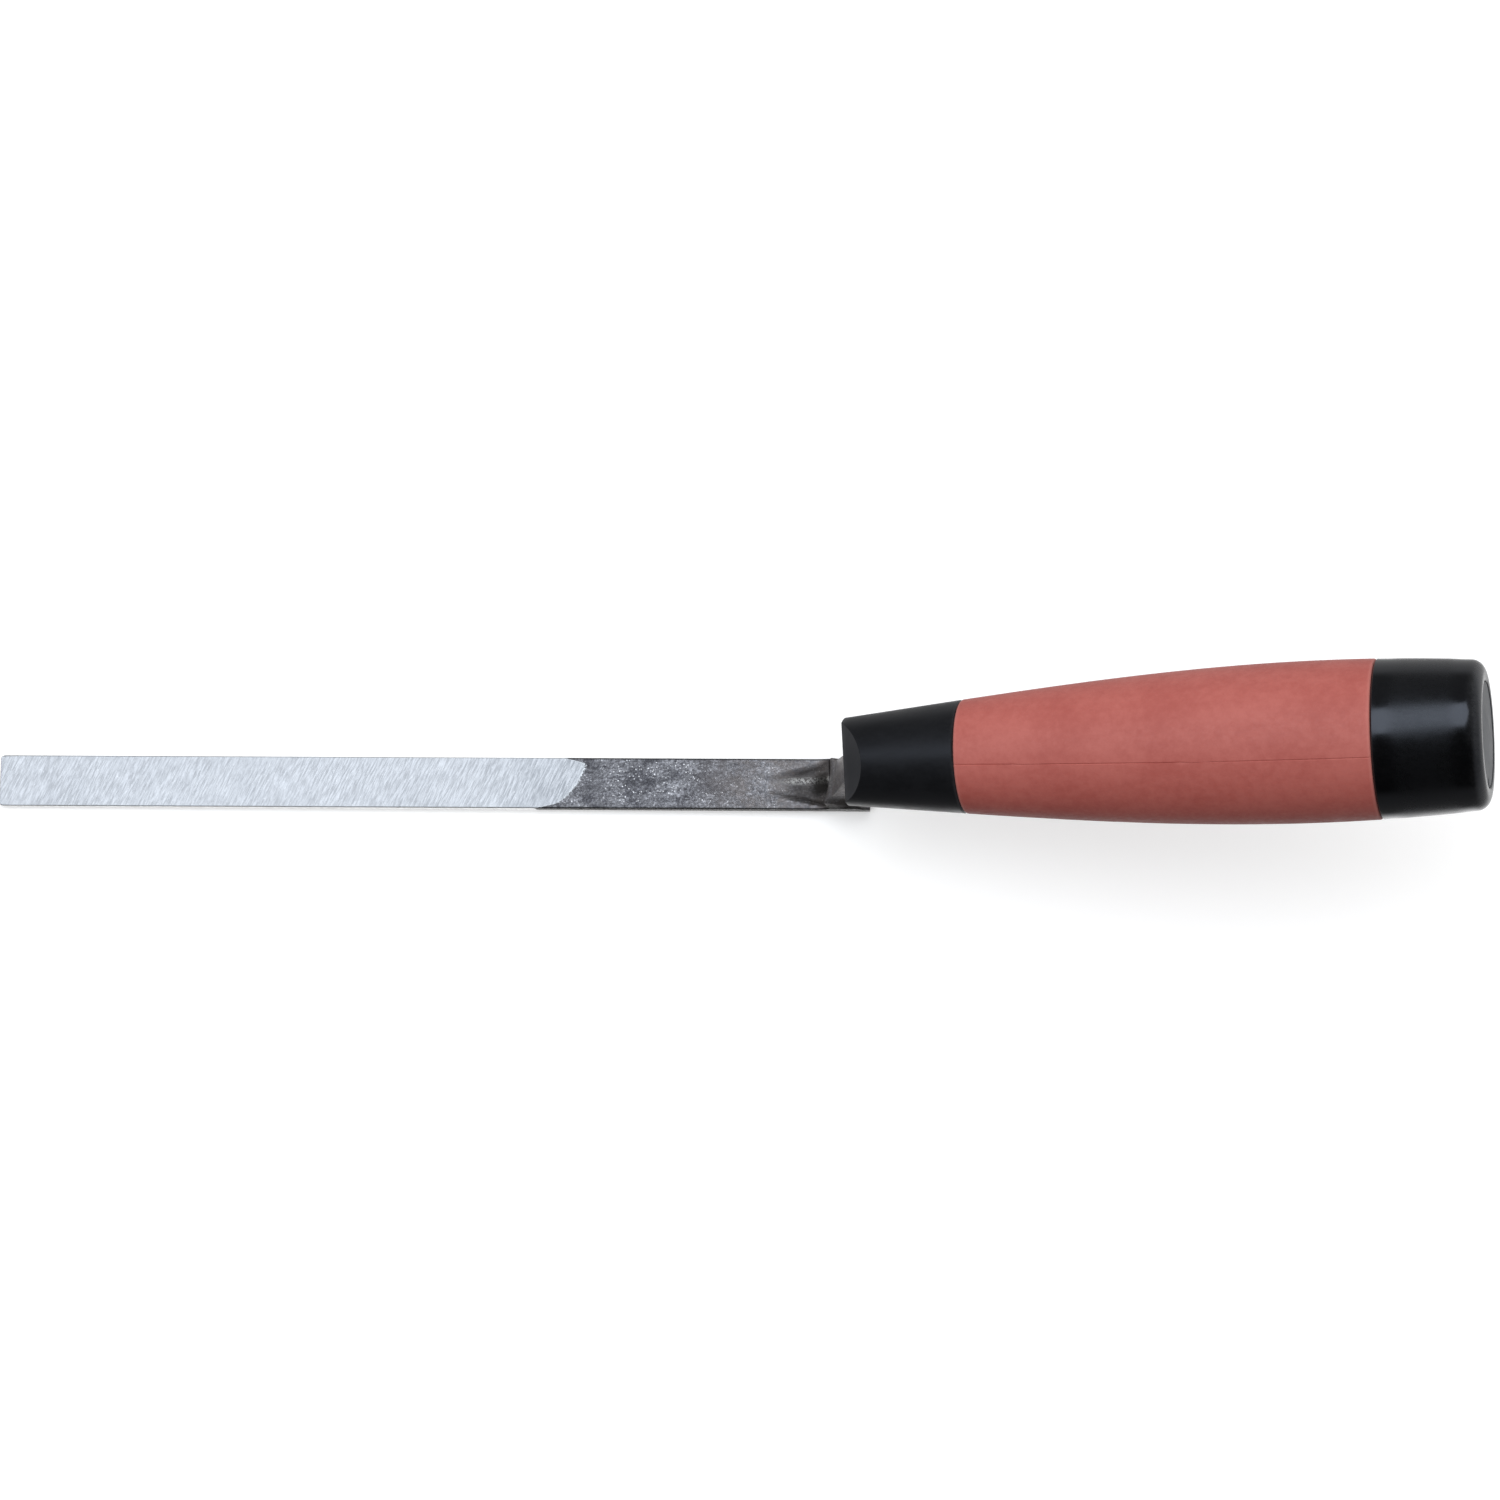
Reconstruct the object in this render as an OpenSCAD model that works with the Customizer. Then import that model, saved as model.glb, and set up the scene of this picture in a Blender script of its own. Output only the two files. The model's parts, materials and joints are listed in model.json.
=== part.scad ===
// Tuck pointer: a narrow pointing trowel with a forged blade and a soft moulded grip.
// Millimetres. +X runs from the blade's tip towards the butt, +Z out of the blade's top face.
// The origin is the middle of the blade's flat underside. Y = 0 is the plane of symmetry, apart from the
// thumb flat, which is turned about the handle's axis.

/* [Blade] */
// Length of the flat blade, from its tip to its heel
blade_len = 171.45; // [140:1:210]
// Width of the blade
blade_w = 10.1; // [8.5:0.1:13]
// Thickness at the tip
tip_t = 1.2; // [0.9:0.1:1.8]
// Thickness at the heel
heel_t = 2.2; // [1.9:0.1:3]
// Radius of the two corners at the tip
tip_corner_r = 0.7; // [0.3:0.1:2]

/* [Neck] */
// Length of the raised wedge on the blade, ahead of the neck
wedge_len = 9.5; // [5:0.5:16]
// Height of the wedge above the blade where it meets the neck
wedge_rise = 1.5; // [0.8:0.1:3]
// Width of the wedge's blunt point
wedge_tip_w = 2.4; // [1:0.1:4]
// Width of the wedge's crest, where it meets the neck
crest_w = 5.55; // [4:0.05:8]
// Length of the neck's foot along the blade, ahead of the neck
foot_len = 4.2; // [3:0.1:6]
// Thickness of the neck at half its height
neck_t = 3.9; // [3:0.1:5]
// Width of the neck where it enters the handle
neck_w = 6.2; // [5:0.1:8]
// Distance from the neck's front to the blade's heel
neck_back = 6.8; // [6:0.1:9]

/* [Handle] */
// Length of the handle along its own axis
handle_len = 122; // [105:1:150]
// Angle of the handle above the blade
lift = 14.2; // [10:0.1:18]
// Height of the middle of the handle's front end above the blade's underside
nose_z = 25.5; // [22:0.5:32]
// Distance from the handle's front end to the blade's heel, along the blade
nose_overlap = 4.7; // [4:0.05:7]
// Diameter at the front end
nose_d = 16.9; // [15.5:0.1:20]
// Angle at which the handle widens behind its front end
nose_flare = 5.94; // [4:0.1:8]
// Largest diameter, at the swell
swell_d = 30.4; // [27:0.1:37]
// Distance from the front end to the swell
swell_at = 90; // [76:1:98]
// Diameter at the butt
butt_d = 27.8; // [25.5:0.1:34]
// Angle at which the handle narrows at the butt
butt_taper = 4.9; // [2:0.1:8]
// Radius of the butt's outer edge
butt_edge_r = 2.6; // [1:0.1:3]
// Radius of the front end's rim
nose_edge_r = 0.8; // [0.3:0.1:1.2]
// Height of the thumb flat's front edge above the handle's axis
flat_rise = 3.8; // [3:0.1:7]
// Length of the thumb flat along the handle's axis
flat_len = 4.6; // [3:0.1:8]
// Angle of the thumb flat about the handle's axis, from straight up towards -Y
flat_turn = 14; // [0:1:30]

/* [Handle pieces] */
// Length of the front bolster
bolster_len = 22.8; // [18:0.1:30]
// Length of the rear cap
cap_len = 20.05; // [18:0.05:26]
// Thickness of the soft grip over its core
grip_wall = 2.4; // [1.5:0.1:3]
// Depth of the bolster's solid front, which holds the neck
bolster_front = 8; // [7:0.5:12]
// Diameter of the core's front spigot, inside the bolster
front_spigot_d = 13.2; // [10:0.1:14]
// Diameter of the core's rear spigot, inside the cap
rear_spigot_d = 22.4; // [18:0.1:23]
// Length of the core's rear spigot
rear_spigot_len = 7; // [5:0.5:8]
// Length of the cap's wide socket, for the spigot, the washer and the tang's head
cap_socket_len = 10.5; // [10:0.5:12]
// Diameter of the plug in the butt
plug_d = 19.7; // [17:0.1:21]
// Thickness of the plug's disc
plug_t = 3.1; // [2:0.1:4]
// Depth of the plug's face below the end of the cap
plug_recess = 0.15; // [0.1:0.05:1]
// Length of the plug's skirt behind its disc
skirt_len = 3; // [2:0.5:4]
// Wall of the plug's skirt
skirt_wall = 1.5; // [1:0.1:2.5]
// Width of the ledge round the skirt, on which the plug's disc sits
plug_ledge = 1.7; // [1:0.1:2.5]

/* [Tang and washer] */
// Diameter of the tang
tang_d = 6; // [5:0.1:6.5]
// Outer diameter of the washer
washer_d = 14; // [12:0.5:18]
// Thickness of the washer
washer_t = 1.6; // [1:0.1:2]
// Diameter of the tang's peened head
head_d = 8.8; // [8:0.1:11]
// Thickness of the tang's peened head
head_t = 1.4; // [1:0.1:2]

/* [Fits] */
// Clearance between pieces that slide together, on each side
fit_gap = 0.05; // [0.02:0.01:0.15]
// Clearance round the neck in the bolster
neck_gap = 0.2; // [0.1:0.05:0.5]

/* [Hidden] */
$fn = 96;

// Stations along the blade
heel_x = blade_len / 2;
tip_x = -blade_len / 2;
nose_x = heel_x - nose_overlap;
neck_x = heel_x - neck_back;
wedge_top_x = neck_x - foot_len;
wedge_tip_x = wedge_top_x - wedge_len;

// Stations along the handle's axis, from its front end
cap_s = handle_len - cap_len;
core_s = bolster_front;
core_end_s = cap_s + rear_spigot_len;
washer_end_s = core_end_s + washer_t;
head_end_s = washer_end_s + head_t;
plug_face_s = handle_len - plug_recess;
plug_seat_s = plug_face_s - plug_t;
skirt_d = plug_d - 2 * plug_ledge;
tang_start_s = 3.4;
neck_end_s = 2.2;
pocket_end_s = bolster_front - 0.2;

// Length by which a cut passes the face that it leaves
over = 1;

// Length of the wedge's crest that stays clear of the foot's front
crest_back = 1;

// Shape of the neck, seen from the side: how far its front hollows and leans, and its back spreads and leans
front_hollow = 0.3;
front_lean = 0.4;
foot_fillet = 0.2;
back_spread = 0.2;
back_lean = 0.3;

// Heights on the neck, as shares of the height of the handle's front end
low_share = 0.3;
back_share = 0.5;
mid_share = 0.55;
high_share = 0.78;
shoulder_share = 0.4;
waist_share = 0.35;
throat_share = 0.75;

// How far the neck's pocket reaches below the handle's axis, to let the leaning neck in
pocket_low = nose_z * 0.25;

// Angle at which the butt's round edge leaves the cap's side
rim_start = 10;

// A cubic from value a with slope p to value b with slope q, over a length, at u from 0 to 1
function blend(a, p, b, q, len, u) =
    a * (2 * u ^ 3 - 3 * u ^ 2 + 1)
    + len * p * (u ^ 3 - 2 * u ^ 2 + u)
    + b * (3 * u ^ 2 - 2 * u ^ 3)
    + len * q * (u ^ 3 - u ^ 2);

// Outer radius of the handle at distance s from its front end
function handle_r(s) =
    s <= swell_at
    ? blend(nose_d / 2, tan(nose_flare), swell_d / 2, 0, swell_at, s / swell_at)
    : blend(swell_d / 2, 0, butt_d / 2, -tan(butt_taper), handle_len - swell_at,
        (s - swell_at) / (handle_len - swell_at));

// Outline points [radius, s] of the handle's outside from s0 to s1, drawn inwards by inset
function skin(s0, s1, inset = 0, steps = 10) =
    [for (i = [0 : steps]) let (s = s0 + (s1 - s0) * i / steps) [handle_r(s) - inset, s]];

// Points of a quarter turn of radius r about [cx, cy], from angle a0 to a1
function corner(cx, cy, r, a0, a1, steps = 6) =
    [for (i = [0 : steps]) let (a = a0 + (a1 - a0) * i / steps) [cx + r * cos(a), cy + r * sin(a)]];

// The point of the XZ plane that is s along the handle's axis and v above it
function on_handle(s, v) =
    [nose_x + s * cos(lift) - v * sin(lift), nose_z + s * sin(lift) + v * cos(lift)];

// Points of a curve through four control points
function curve(p0, p1, p2, p3, steps = 8) =
    [for (i = [0 : steps]) let (u = i / steps)
        (1 - u) ^ 3 * p0 + 3 * (1 - u) ^ 2 * u * p1 + 3 * (1 - u) * u ^ 2 * p2 + u ^ 3 * p3];

// Puts children that are drawn along +Z from the origin on to the handle's axis
module on_axis() {
    translate([nose_x, 0, nose_z])
        rotate([0, 90 - lift, 0])
            children();
}

// Extrudes an outline of the XZ plane to both sides of the plane of symmetry
module slab_y(width) {
    rotate([90, 0, 0])
        linear_extrude(height = width, center = true)
            children();
}

// A ring or a rod about the handle's axis, from s0 to s1
module round_bar(d, s0, s1) {
    translate([0, 0, s0])
        cylinder(d = d, h = s1 - s0);
}

// The flat blade: a slab that thins towards the tip, cut to the plan with its two round corners
module blade_plate() {
    intersection() {
        slab_y(blade_w + 2)
            polygon([[tip_x, 0], [heel_x, 0], [heel_x, heel_t], [tip_x, tip_t]]);
        linear_extrude(height = heel_t + 1)
            polygon(concat(
                [[heel_x, -blade_w / 2], [heel_x, blade_w / 2]],
                corner(tip_x + tip_corner_r, blade_w / 2 - tip_corner_r, tip_corner_r, 90, 180),
                corner(tip_x + tip_corner_r, tip_corner_r - blade_w / 2, tip_corner_r, 180, 270)));
    }
}

// The wedge that rises along the blade to the neck
module wedge() {
    hull() {
        translate([wedge_tip_x, 0, heel_t / 2])
            cylinder(d = wedge_tip_w, h = heel_t / 2);
        translate([wedge_top_x, -blade_w / 2, heel_t / 2])
            cube([foot_len, blade_w, heel_t / 2]);
        translate([wedge_top_x + crest_back, 0, heel_t / 2])
            slab_x(crest_w, heel_t / 2 + wedge_rise, foot_len - crest_back);
    }
}

// A bar across the blade, for the wedge's crest
module slab_x(width, height, len) {
    translate([0, -width / 2, 0])
        cube([len, width, height]);
}

// The neck's side view: up from the heel, and back into the handle
module neck_side() {
    low = [wedge_top_x, heel_t / 2];
    front_foot = [wedge_top_x, heel_t + wedge_rise];
    front_mid = [neck_x + front_lean, nose_z * mid_share];
    front_top = on_handle(neck_end_s, tang_d / 2);
    back_top = on_handle(bolster_front - over, -tang_d / 2);
    back_mid = [neck_x + neck_t - back_lean, nose_z * high_share];
    back_x = neck_x + neck_t + back_spread;
    back_foot = [heel_x, heel_t];
    polygon(concat(
        [low],
        curve(front_foot, [neck_x - front_hollow, front_foot[1] + foot_fillet],
            [neck_x - front_hollow, nose_z * low_share], front_mid),
        [front_top, on_handle(bolster_front - over, tang_d / 2), back_top],
        curve(back_mid, [back_x, nose_z * back_share], [back_x, heel_t], back_foot),
        [[heel_x, heel_t / 2]]));
}

// The neck's front view: the blade's width at the foot, drawn in to the tang
module neck_front() {
    foot_z = heel_t + wedge_rise;
    top_z = nose_z + 1.5 * tang_d;
    left = curve([blade_w / 2, foot_z], [blade_w / 2, nose_z * shoulder_share],
        [neck_w / 2, nose_z * waist_share], [neck_w / 2, nose_z * throat_share]);
    right = [for (i = [len(left) - 1 : -1 : 0]) [-left[i][0], left[i][1]]];
    polygon(concat(
        [[-blade_w / 2, 0], [blade_w / 2, 0]],
        left,
        [[neck_w / 2, top_z], [-neck_w / 2, top_z]],
        right));
}

// One forging: the blade, its wedge and neck, and the tang with its peened head
module blade() {
    color("silver") {
        blade_plate();
        wedge();
        intersection() {
            slab_y(blade_w + 2)
                neck_side();
            translate([wedge_top_x - over, 0, 0])
                rotate([90, 0, 90])
                    linear_extrude(height = nose_z)
                        neck_front();
        }
        on_axis() {
            round_bar(tang_d, tang_start_s, washer_end_s);
            round_bar(head_d, washer_end_s, head_end_s);
        }
    }
}

// Front piece of the handle, with a thumb flat and the pocket that holds the neck
module front_bolster() {
    edge = corner(nose_d / 2 - nose_edge_r, nose_edge_r, nose_edge_r, -90, 0);
    flat_top = handle_r(flat_len);
    color([0.09, 0.09, 0.10])
        on_axis()
            difference() {
                rotate_extrude()
                    polygon(concat([[0, 0]], edge, skin(nose_edge_r * 2, bolster_len), [[0, bolster_len]]));
                rotate([0, 0, flat_turn])
                    slab_y(nose_d * 2)
                        polygon([[-flat_rise, -over], [-flat_rise, 0], [-flat_top, flat_len],
                            [-nose_d, flat_len], [-nose_d, -over]]);
                translate([-tang_d / 2 - neck_gap, -neck_w / 2 - neck_gap, -over])
                    cube([tang_d / 2 + pocket_low + neck_gap, neck_w + 2 * neck_gap, pocket_end_s + over]);
                round_bar(tang_d + 2 * fit_gap, -over, bolster_len + over);
                round_bar(front_spigot_d + 2 * fit_gap, bolster_front, bolster_len + over);
            }
}

// Rigid core under the soft grip, with a spigot at each end and the tang's bore
module handle_core() {
    color([0.25, 0.25, 0.27])
        on_axis()
            difference() {
                union() {
                    round_bar(front_spigot_d, core_s, bolster_len);
                    rotate_extrude()
                        polygon(concat([[0, bolster_len]], skin(bolster_len, cap_s, grip_wall, 18),
                            [[0, cap_s]]));
                    round_bar(rear_spigot_d, cap_s, core_end_s);
                }
                round_bar(tang_d + 2 * fit_gap, core_s - over, core_end_s + over);
            }
}

// Soft grip moulded over the core
module grip_sleeve() {
    outer = skin(bolster_len, cap_s, 0, 22);
    inner = skin(bolster_len, cap_s, grip_wall - fit_gap, 18);
    color([0.70, 0.33, 0.31])
        on_axis()
            rotate_extrude()
                polygon(concat(outer, [for (i = [len(inner) - 1 : -1 : 0]) inner[i]]));
}

// Rear piece of the handle, open at the butt for the plug
module rear_cap() {
    rim = [handle_r(handle_len - butt_edge_r) - butt_edge_r, handle_len - butt_edge_r];
    color([0.05, 0.05, 0.055])
        on_axis()
            difference() {
                rotate_extrude()
                    polygon(concat([[0, cap_s]], skin(cap_s, handle_len - butt_edge_r),
                        corner(rim[0], rim[1], butt_edge_r, rim_start, 90), [[0, handle_len]]));
                round_bar(rear_spigot_d + 2 * fit_gap, cap_s - over, cap_s + cap_socket_len);
                round_bar(skirt_d + 2 * fit_gap, cap_s, handle_len);
                round_bar(plug_d + 2 * fit_gap, plug_seat_s, handle_len + over);
            }
}

// Washer under the tang's peened head
module tang_washer() {
    color("gray")
        on_axis()
            difference() {
                round_bar(washer_d, core_end_s, washer_end_s);
                round_bar(tang_d + 2 * fit_gap, core_end_s - over, washer_end_s + over);
            }
}

// Round plug that closes the butt: a disc with a skirt that grips the cap
module butt_plug() {
    color([0.16, 0.16, 0.17])
        on_axis()
            difference() {
                union() {
                    round_bar(plug_d, plug_seat_s, plug_face_s);
                    round_bar(skirt_d, plug_seat_s - skirt_len, plug_seat_s);
                }
                round_bar(skirt_d - 2 * skirt_wall, plug_seat_s - skirt_len - over, plug_seat_s);
            }
}

blade();
front_bolster();
handle_core();
grip_sleeve();
rear_cap();
tang_washer();
butt_plug();
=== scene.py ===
# %% [markdown]
# # A tuck pointer with a soft grip
# A tuck pointer pushes mortar into a narrow joint. It has one long forged blade, a neck that lifts the hand
# clear of the wall, and a handle of three mouldings: a hard black nose, a soft red grip and a glossy end
# cap. The frame comes first: it is the engineering model, loaded as fixed bodies in metres. Everything made
# here is placed by measuring that frame, so that a change in the design moves the looks with it.

# %% Load the frame
import json
import math

import bmesh
import bpy
import numpy as np
from mathutils import Matrix, Vector, noise


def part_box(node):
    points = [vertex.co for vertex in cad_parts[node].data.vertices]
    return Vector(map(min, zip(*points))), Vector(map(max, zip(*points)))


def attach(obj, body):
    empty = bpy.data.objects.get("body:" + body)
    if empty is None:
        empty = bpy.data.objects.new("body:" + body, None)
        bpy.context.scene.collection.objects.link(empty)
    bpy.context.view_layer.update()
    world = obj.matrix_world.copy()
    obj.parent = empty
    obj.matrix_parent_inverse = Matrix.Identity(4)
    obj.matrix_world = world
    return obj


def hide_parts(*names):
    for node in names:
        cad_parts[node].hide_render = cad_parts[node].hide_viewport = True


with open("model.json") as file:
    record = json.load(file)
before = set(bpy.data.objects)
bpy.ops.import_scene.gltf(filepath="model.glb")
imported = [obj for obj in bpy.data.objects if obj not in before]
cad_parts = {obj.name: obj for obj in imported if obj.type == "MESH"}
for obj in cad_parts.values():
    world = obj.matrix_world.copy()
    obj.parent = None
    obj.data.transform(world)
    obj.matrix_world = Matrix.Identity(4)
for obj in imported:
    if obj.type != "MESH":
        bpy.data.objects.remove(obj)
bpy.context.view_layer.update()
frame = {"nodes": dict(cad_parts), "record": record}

MM = 0.001

# %% [markdown]
# ## The camera
# The camera is made first, because it decides which details matter. It looks almost straight down on the
# blade, a little from the near side, through a long lens, which keeps the blade's two edges parallel. The
# camera is turned with a matrix instead of a constraint, so that nothing has to be evaluated before the
# render.

# %% Camera
def make_camera(target, elevation, turn, roll, distance, lens):
    """A camera that looks at target from the -Y side, at an elevation above the blade's plane, in degrees."""
    data = bpy.data.cameras.new("studio_camera")
    data.lens = lens
    data.sensor_width = 36.0
    data.clip_start = 0.05
    data.clip_end = 20.0
    camera = bpy.data.objects.new("studio_camera", data)
    bpy.context.scene.collection.objects.link(camera)
    tilt = Matrix.Rotation(math.radians(90.0 - elevation), 4, "X")
    tilt = tilt @ Matrix.Rotation(math.radians(turn), 4, "Y") @ Matrix.Rotation(math.radians(roll), 4, "Z")
    back = tilt.to_3x3() @ Vector((0.0, 0.0, 1.0))
    camera.matrix_world = Matrix.Translation(Vector(target) + back * distance) @ tilt
    bpy.context.scene.camera = camera
    return camera


camera = make_camera(target=(62.0 * MM, 7.2 * MM, 0.0), elevation=78.8, turn=0.55, roll=0.34,
                     distance=934.0 * MM, lens=113.6)
print("camera at, mm:", [round(c / MM) for c in camera.matrix_world.translation])

# %% [markdown]
# ## Measuring the frame
# The handle is round, but its axis leans back from the blade. The mount on the butt gives that axis, and
# each moulding's own vertices give where it starts and ends along the axis. One smooth outline runs over
# all three mouldings, so that they meet flush: a cubic curve from the nose to the swell and another on to
# the butt.

# %% The handle's axis and outline
mounts = {mount["name"]: mount for mount in frame["record"]["mounts"]}
butt_point = Vector(mounts["butt_face"]["pos_m"])
axis_dir = Vector(mounts["butt_face"]["axis"]).normalized()
lift = math.atan2(axis_dir.z, axis_dir.x)


def measure(node):
    """(distance along the axis from the butt point, radius about the axis) of every vertex of a CAD node."""
    points = [v.co - butt_point for v in frame["nodes"][node].data.vertices]
    along = np.array([p.dot(axis_dir) for p in points])
    radius = np.array([(p - axis_dir * p.dot(axis_dir)).length for p in points])
    return along, radius


def span(node):
    """Where a CAD node starts and ends along the handle's axis, in metres from the handle's front end."""
    along, _ = measure(node)
    return float(along.min() - front_end), float(along.max() - front_end)


front_end = float(measure("front_bolster")[0].min())
nose_point = butt_point + axis_dir * front_end
handle_len = span("rear_cap")[1]
bolster_end = span("front_bolster")[1]
cap_start = span("rear_cap")[0]

nose_r, nose_flare = 8.45 * MM, math.tan(math.radians(5.94))
butt_r, butt_taper = 13.9 * MM, math.tan(math.radians(-4.9))
swell_r, swell_s = float(measure("grip_sleeve")[1].max()), 90.0 * MM


def blend(a, slope_a, b, slope_b, length, u):
    """A cubic from value a with one slope to value b with another, over a length, at u from 0 to 1."""
    return (a * (2 * u**3 - 3 * u**2 + 1) + length * slope_a * (u**3 - 2 * u**2 + u)
            + b * (3 * u**2 - 2 * u**3) + length * slope_b * (u**3 - u**2))


def handle_r(s):
    """Outer radius of the handle, s metres from its front end."""
    if s <= swell_s:
        return blend(nose_r, nose_flare, swell_r, 0.0, swell_s, s / swell_s)
    rest = handle_len - swell_s
    return blend(swell_r, 0.0, butt_r, butt_taper, rest, (s - swell_s) / rest)


handle_turn = Matrix.Rotation(math.pi / 2.0 - lift, 4, "Y")
handle_place = Matrix.Translation(nose_point) @ handle_turn
sleeve_along, sleeve_r = measure("grip_sleeve")
misfit = max(float(r) - handle_r(float(a) - front_end) for a, r in zip(sleeve_along, sleeve_r))
print("handle, mm:", round(handle_len / MM, 2), "lift, degrees:", round(math.degrees(lift), 2))
print("outline follows the frame within, mm:", round(misfit / MM, 3))

# %% [markdown]
# ## From a bmesh to a piece
# Each new piece ends the same way: its mesh gets the place of the real piece, its object stays at the
# origin and is parented to the empty of the body it rides on, it takes its material, and the CAD node it
# stands for is hidden. One short function does that for all of them.

# %% Finishing a piece
def make_piece(bm, name, node, material, on_handle=True, smooth_angle=40.0):
    """Turns a bmesh into a finished object of the scene on the root body, and hides the CAD node it stands
    for.
    """
    if on_handle:
        bmesh.ops.transform(bm, matrix=handle_place, verts=bm.verts)
    mesh = bpy.data.meshes.new(name)
    bm.to_mesh(mesh)
    bm.free()
    mesh.materials.append(material)
    piece = bpy.data.objects.new(name, mesh)
    bpy.context.scene.collection.objects.link(piece)
    mesh.shade_smooth()
    mesh.set_sharp_from_angle(angle=math.radians(smooth_angle))
    even = piece.modifiers.new("even_normals", "WEIGHTED_NORMAL")
    even.keep_sharp = True
    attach(piece, "root")
    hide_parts(node)
    low = [min(v.co[i] for v in mesh.vertices) / MM for i in range(3)]
    high = [max(v.co[i] for v in mesh.vertices) / MM for i in range(3)]
    print(name, len(mesh.polygons), "faces, mm:", [round(c, 1) for c in low], [round(c, 1) for c in high])


def turned(outline, steps=144):
    """A turned blank about +Z: an outline of (radius, height) points spun once round."""
    bm = bmesh.new()
    verts = [bm.verts.new((r, 0.0, s)) for r, s in outline]
    edges = [bm.edges.new(pair) for pair in zip(verts, verts[1:])]
    bmesh.ops.spin(bm, geom=verts + edges, cent=(0, 0, 0), axis=(0, 0, 1), angle=math.tau, steps=steps,
                   use_merge=True)
    bmesh.ops.remove_doubles(bm, verts=bm.verts, dist=1e-7)
    bmesh.ops.recalc_face_normals(bm, faces=bm.faces)
    return bm


def round_rim(bm, radius, height, width, segments=4):
    """Rounds the ring of edges that lies at a radius and a height of a turned blank."""
    near = 0.02 * MM
    ring = [e for e in bm.edges
            if all(abs(v.co.z - height) < near and abs(v.co.xy.length - radius) < near for v in e.verts)]
    bmesh.ops.bevel(bm, geom=ring, offset=width, offset_type="OFFSET", segments=segments, profile=0.5,
                    affect="EDGES", material=-1, clamp_overlap=True)


def skin(start, end, steps):
    """Outline points of the handle's outside between two stations."""
    return [(handle_r(s), s) for s in np.linspace(start, end, steps)]

# %% [markdown]
# ## Shared effects
# Several finishes need the same three effects. Each is a node group, built once, with its values as inputs:
# `mottle` mixes two sizes of noise for uneven colour, `scratches` makes long thin marks at an angle, and
# `rim_band` marks a band about one place, such as a rim that handling rubs or that gets a painted highlight.
# A group puts out only numbers that vary over the surface, and the shader itself stays in the material.

# %% Node helpers
def new_group(name, inputs, outputs):
    """An empty shader node group with float or vector sockets. Returns the tree and its two end nodes."""
    tree = bpy.data.node_groups.new(name, "ShaderNodeTree")
    for label, kind, value in inputs:
        socket = tree.interface.new_socket(label, in_out="INPUT", socket_type=kind)
        if value is not None:
            socket.default_value = value
    for label, kind in outputs:
        tree.interface.new_socket(label, in_out="OUTPUT", socket_type=kind)
    return tree, tree.nodes.new("NodeGroupInput"), tree.nodes.new("NodeGroupOutput")


def node(tree, kind, **settings):
    """A new node with its properties set."""
    made = tree.nodes.new(kind)
    for key, value in settings.items():
        setattr(made, key, value)
    return made


def math_node(tree, operation, a, b=None):
    """A Math node. An operand is a number or another node's output."""
    made = node(tree, "ShaderNodeMath", operation=operation)
    for index, operand in enumerate((a, b)):
        if operand is None:
            continue
        if isinstance(operand, (int, float)):
            made.inputs[index].default_value = operand
        else:
            tree.links.new(operand, made.inputs[index])
    return made.outputs[0]


def product(tree, first, *others):
    """The product of two or more masks or numbers."""
    for other in others:
        first = math_node(tree, "MULTIPLY", first, other)
    return first


def total(tree, first, *others):
    """The sum of two or more masks or numbers."""
    for other in others:
        first = math_node(tree, "ADD", first, other)
    return first


def remap(tree, value, low, high, to_low=0.0, to_high=1.0):
    """A smooth step of a value from one range to another."""
    made = node(tree, "ShaderNodeMapRange", interpolation_type="SMOOTHSTEP")
    tree.links.new(value, made.inputs["Value"])
    made.inputs["From Min"].default_value = low
    made.inputs["From Max"].default_value = high
    made.inputs["To Min"].default_value = to_low
    made.inputs["To Max"].default_value = to_high
    return made.outputs["Result"]


def mix_value(tree, factor, a, b):
    """A mix of two outputs that are numbers."""
    made = node(tree, "ShaderNodeMix", data_type="FLOAT")
    for socket, value in ((made.inputs["Factor"], factor), (made.inputs[2], a), (made.inputs[3], b)):
        tree.links.new(value, socket)
    return made.outputs[0]


def mix_colour(tree, factor, a, b):
    """A colour mix. a and b are RGB triples or another node's output."""
    made = node(tree, "ShaderNodeMix", data_type="RGBA")
    tree.links.new(factor, made.inputs["Factor"])
    for socket, value in ((made.inputs[6], a), (made.inputs[7], b)):
        if isinstance(value, tuple):
            socket.default_value = (*value, 1.0)
        else:
            tree.links.new(value, socket)
    return made.outputs[2]


def coat(tree, base, mask, share, colour):
    """Lays a colour over a base where a mask is high, at most by a share."""
    return mix_colour(tree, product(tree, mask, share), base, colour)


print("helpers for nodes are ready")

# %% [markdown]
# Mottle is the uneven tone of anything that was cast, forged or touched. It could be one noise with much
# detail, but two noises of separate sizes let each finish set its clouds and its grain apart.

# %% The mottle group
mottle, ends_in, ends_out = new_group(
    "mottle",
    [("Vector", "NodeSocketVector", None), ("Large", "NodeSocketFloat", 0.3),
     ("Small", "NodeSocketFloat", 2.0)],
    [("Mask", "NodeSocketFloat")])
large = node(mottle, "ShaderNodeTexNoise")
large.inputs["Detail"].default_value = 4.0
small = node(mottle, "ShaderNodeTexNoise")
small.inputs["Detail"].default_value = 6.0
small.inputs["Roughness"].default_value = 0.7
for texture, size in ((large, "Large"), (small, "Small")):
    mottle.links.new(ends_in.outputs["Vector"], texture.inputs["Vector"])
    mottle.links.new(ends_in.outputs[size], texture.inputs["Scale"])
blended = product(mottle, total(mottle, large.outputs["Fac"], small.outputs["Fac"]), 0.5)
mottle.links.new(remap(mottle, blended, 0.34, 0.66), ends_out.inputs["Mask"])
print("mottle has", len(mottle.nodes), "nodes")

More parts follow.
